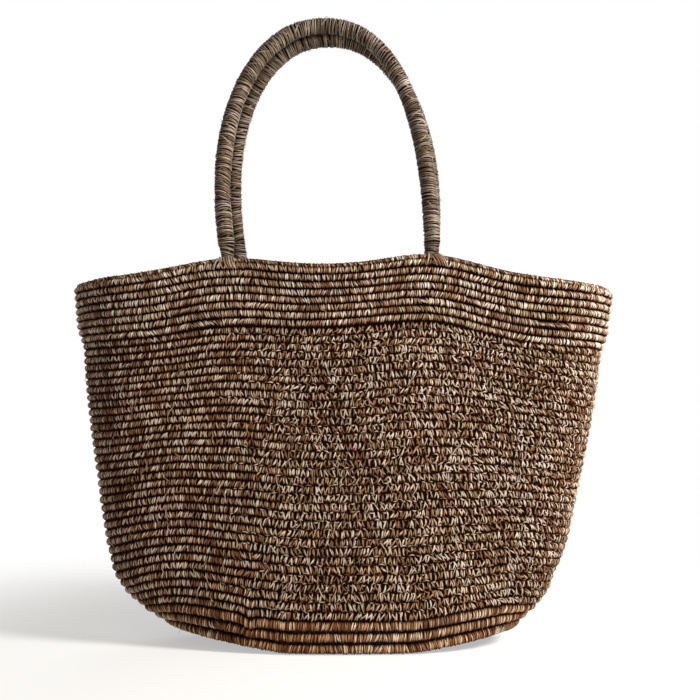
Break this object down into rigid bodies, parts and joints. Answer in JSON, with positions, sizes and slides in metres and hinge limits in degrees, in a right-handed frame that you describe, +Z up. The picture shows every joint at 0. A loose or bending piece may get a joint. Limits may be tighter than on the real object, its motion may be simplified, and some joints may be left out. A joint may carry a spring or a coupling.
{
  "type": "woven basket with two rope handles",
  "caption": "Dark brown raffia tote basket: coiled oval base, thick heel cords, crocheted wall, proud rim band and two raffia-wound rope handles that swing outward.",
  "frame": {"origin": "middle of the flat part of the base's underside, on the surface that the basket stands on", "axes": "+X to the right along the basket's length, +Y to the back, +Z up; the face seen in the picture looks along -Y"},
  "size_m": [0.4969, 0.1418, 0.576],
  "materials": {
    "wall_raffia": "dyed raffia, matte with a faint sheen on each strand",
    "rim_raffia": "dyed raffia wound round thick cords, faint sheen",
    "heel_raffia": "ginger brown raffia wound round thick cords, faint sheen",
    "handle_raffia": "grey brown raffia wound close round a rope, matte",
    "rope": "undyed plant fibre rope, rough"
  },
  "bodies": {
    "basket": {"base_coil": "wall_raffia", "heel_cord_lower": "heel_raffia", "heel_cord_middle": "heel_raffia", "heel_cord_upper": "heel_raffia", "wall_courses": "wall_raffia", "rim_band": "rim_raffia", "rim_edge": "rim_raffia", "front_left_tail": "rope", "front_left_lashing": "rim_raffia", "front_right_tail": "rope", "front_right_lashing": "rim_raffia", "rear_left_tail": "rope", "rear_left_lashing": "rim_raffia", "rear_right_tail": "rope", "rear_right_lashing": "rim_raffia"},
    "front_handle": {"front_handle_core": "rope", "front_handle_wrap": "handle_raffia"},
    "rear_handle": {"rear_handle_core": "rope", "rear_handle_wrap": "handle_raffia"}
  },
  "joints": [
    {"name": "front_handle_swing", "type": "hinge", "parent": "basket", "child": "front_handle", "pos_m": [-0.0107, -0.05019, 0.36408], "axis": [1, 0, 0], "range_deg": [0, 125]},
    {"name": "rear_handle_swing", "type": "hinge", "parent": "basket", "child": "rear_handle", "pos_m": [-0.007, 0.05009, 0.36408], "axis": [-1, 0, 0], "range_deg": [0, 125]}
  ]
}
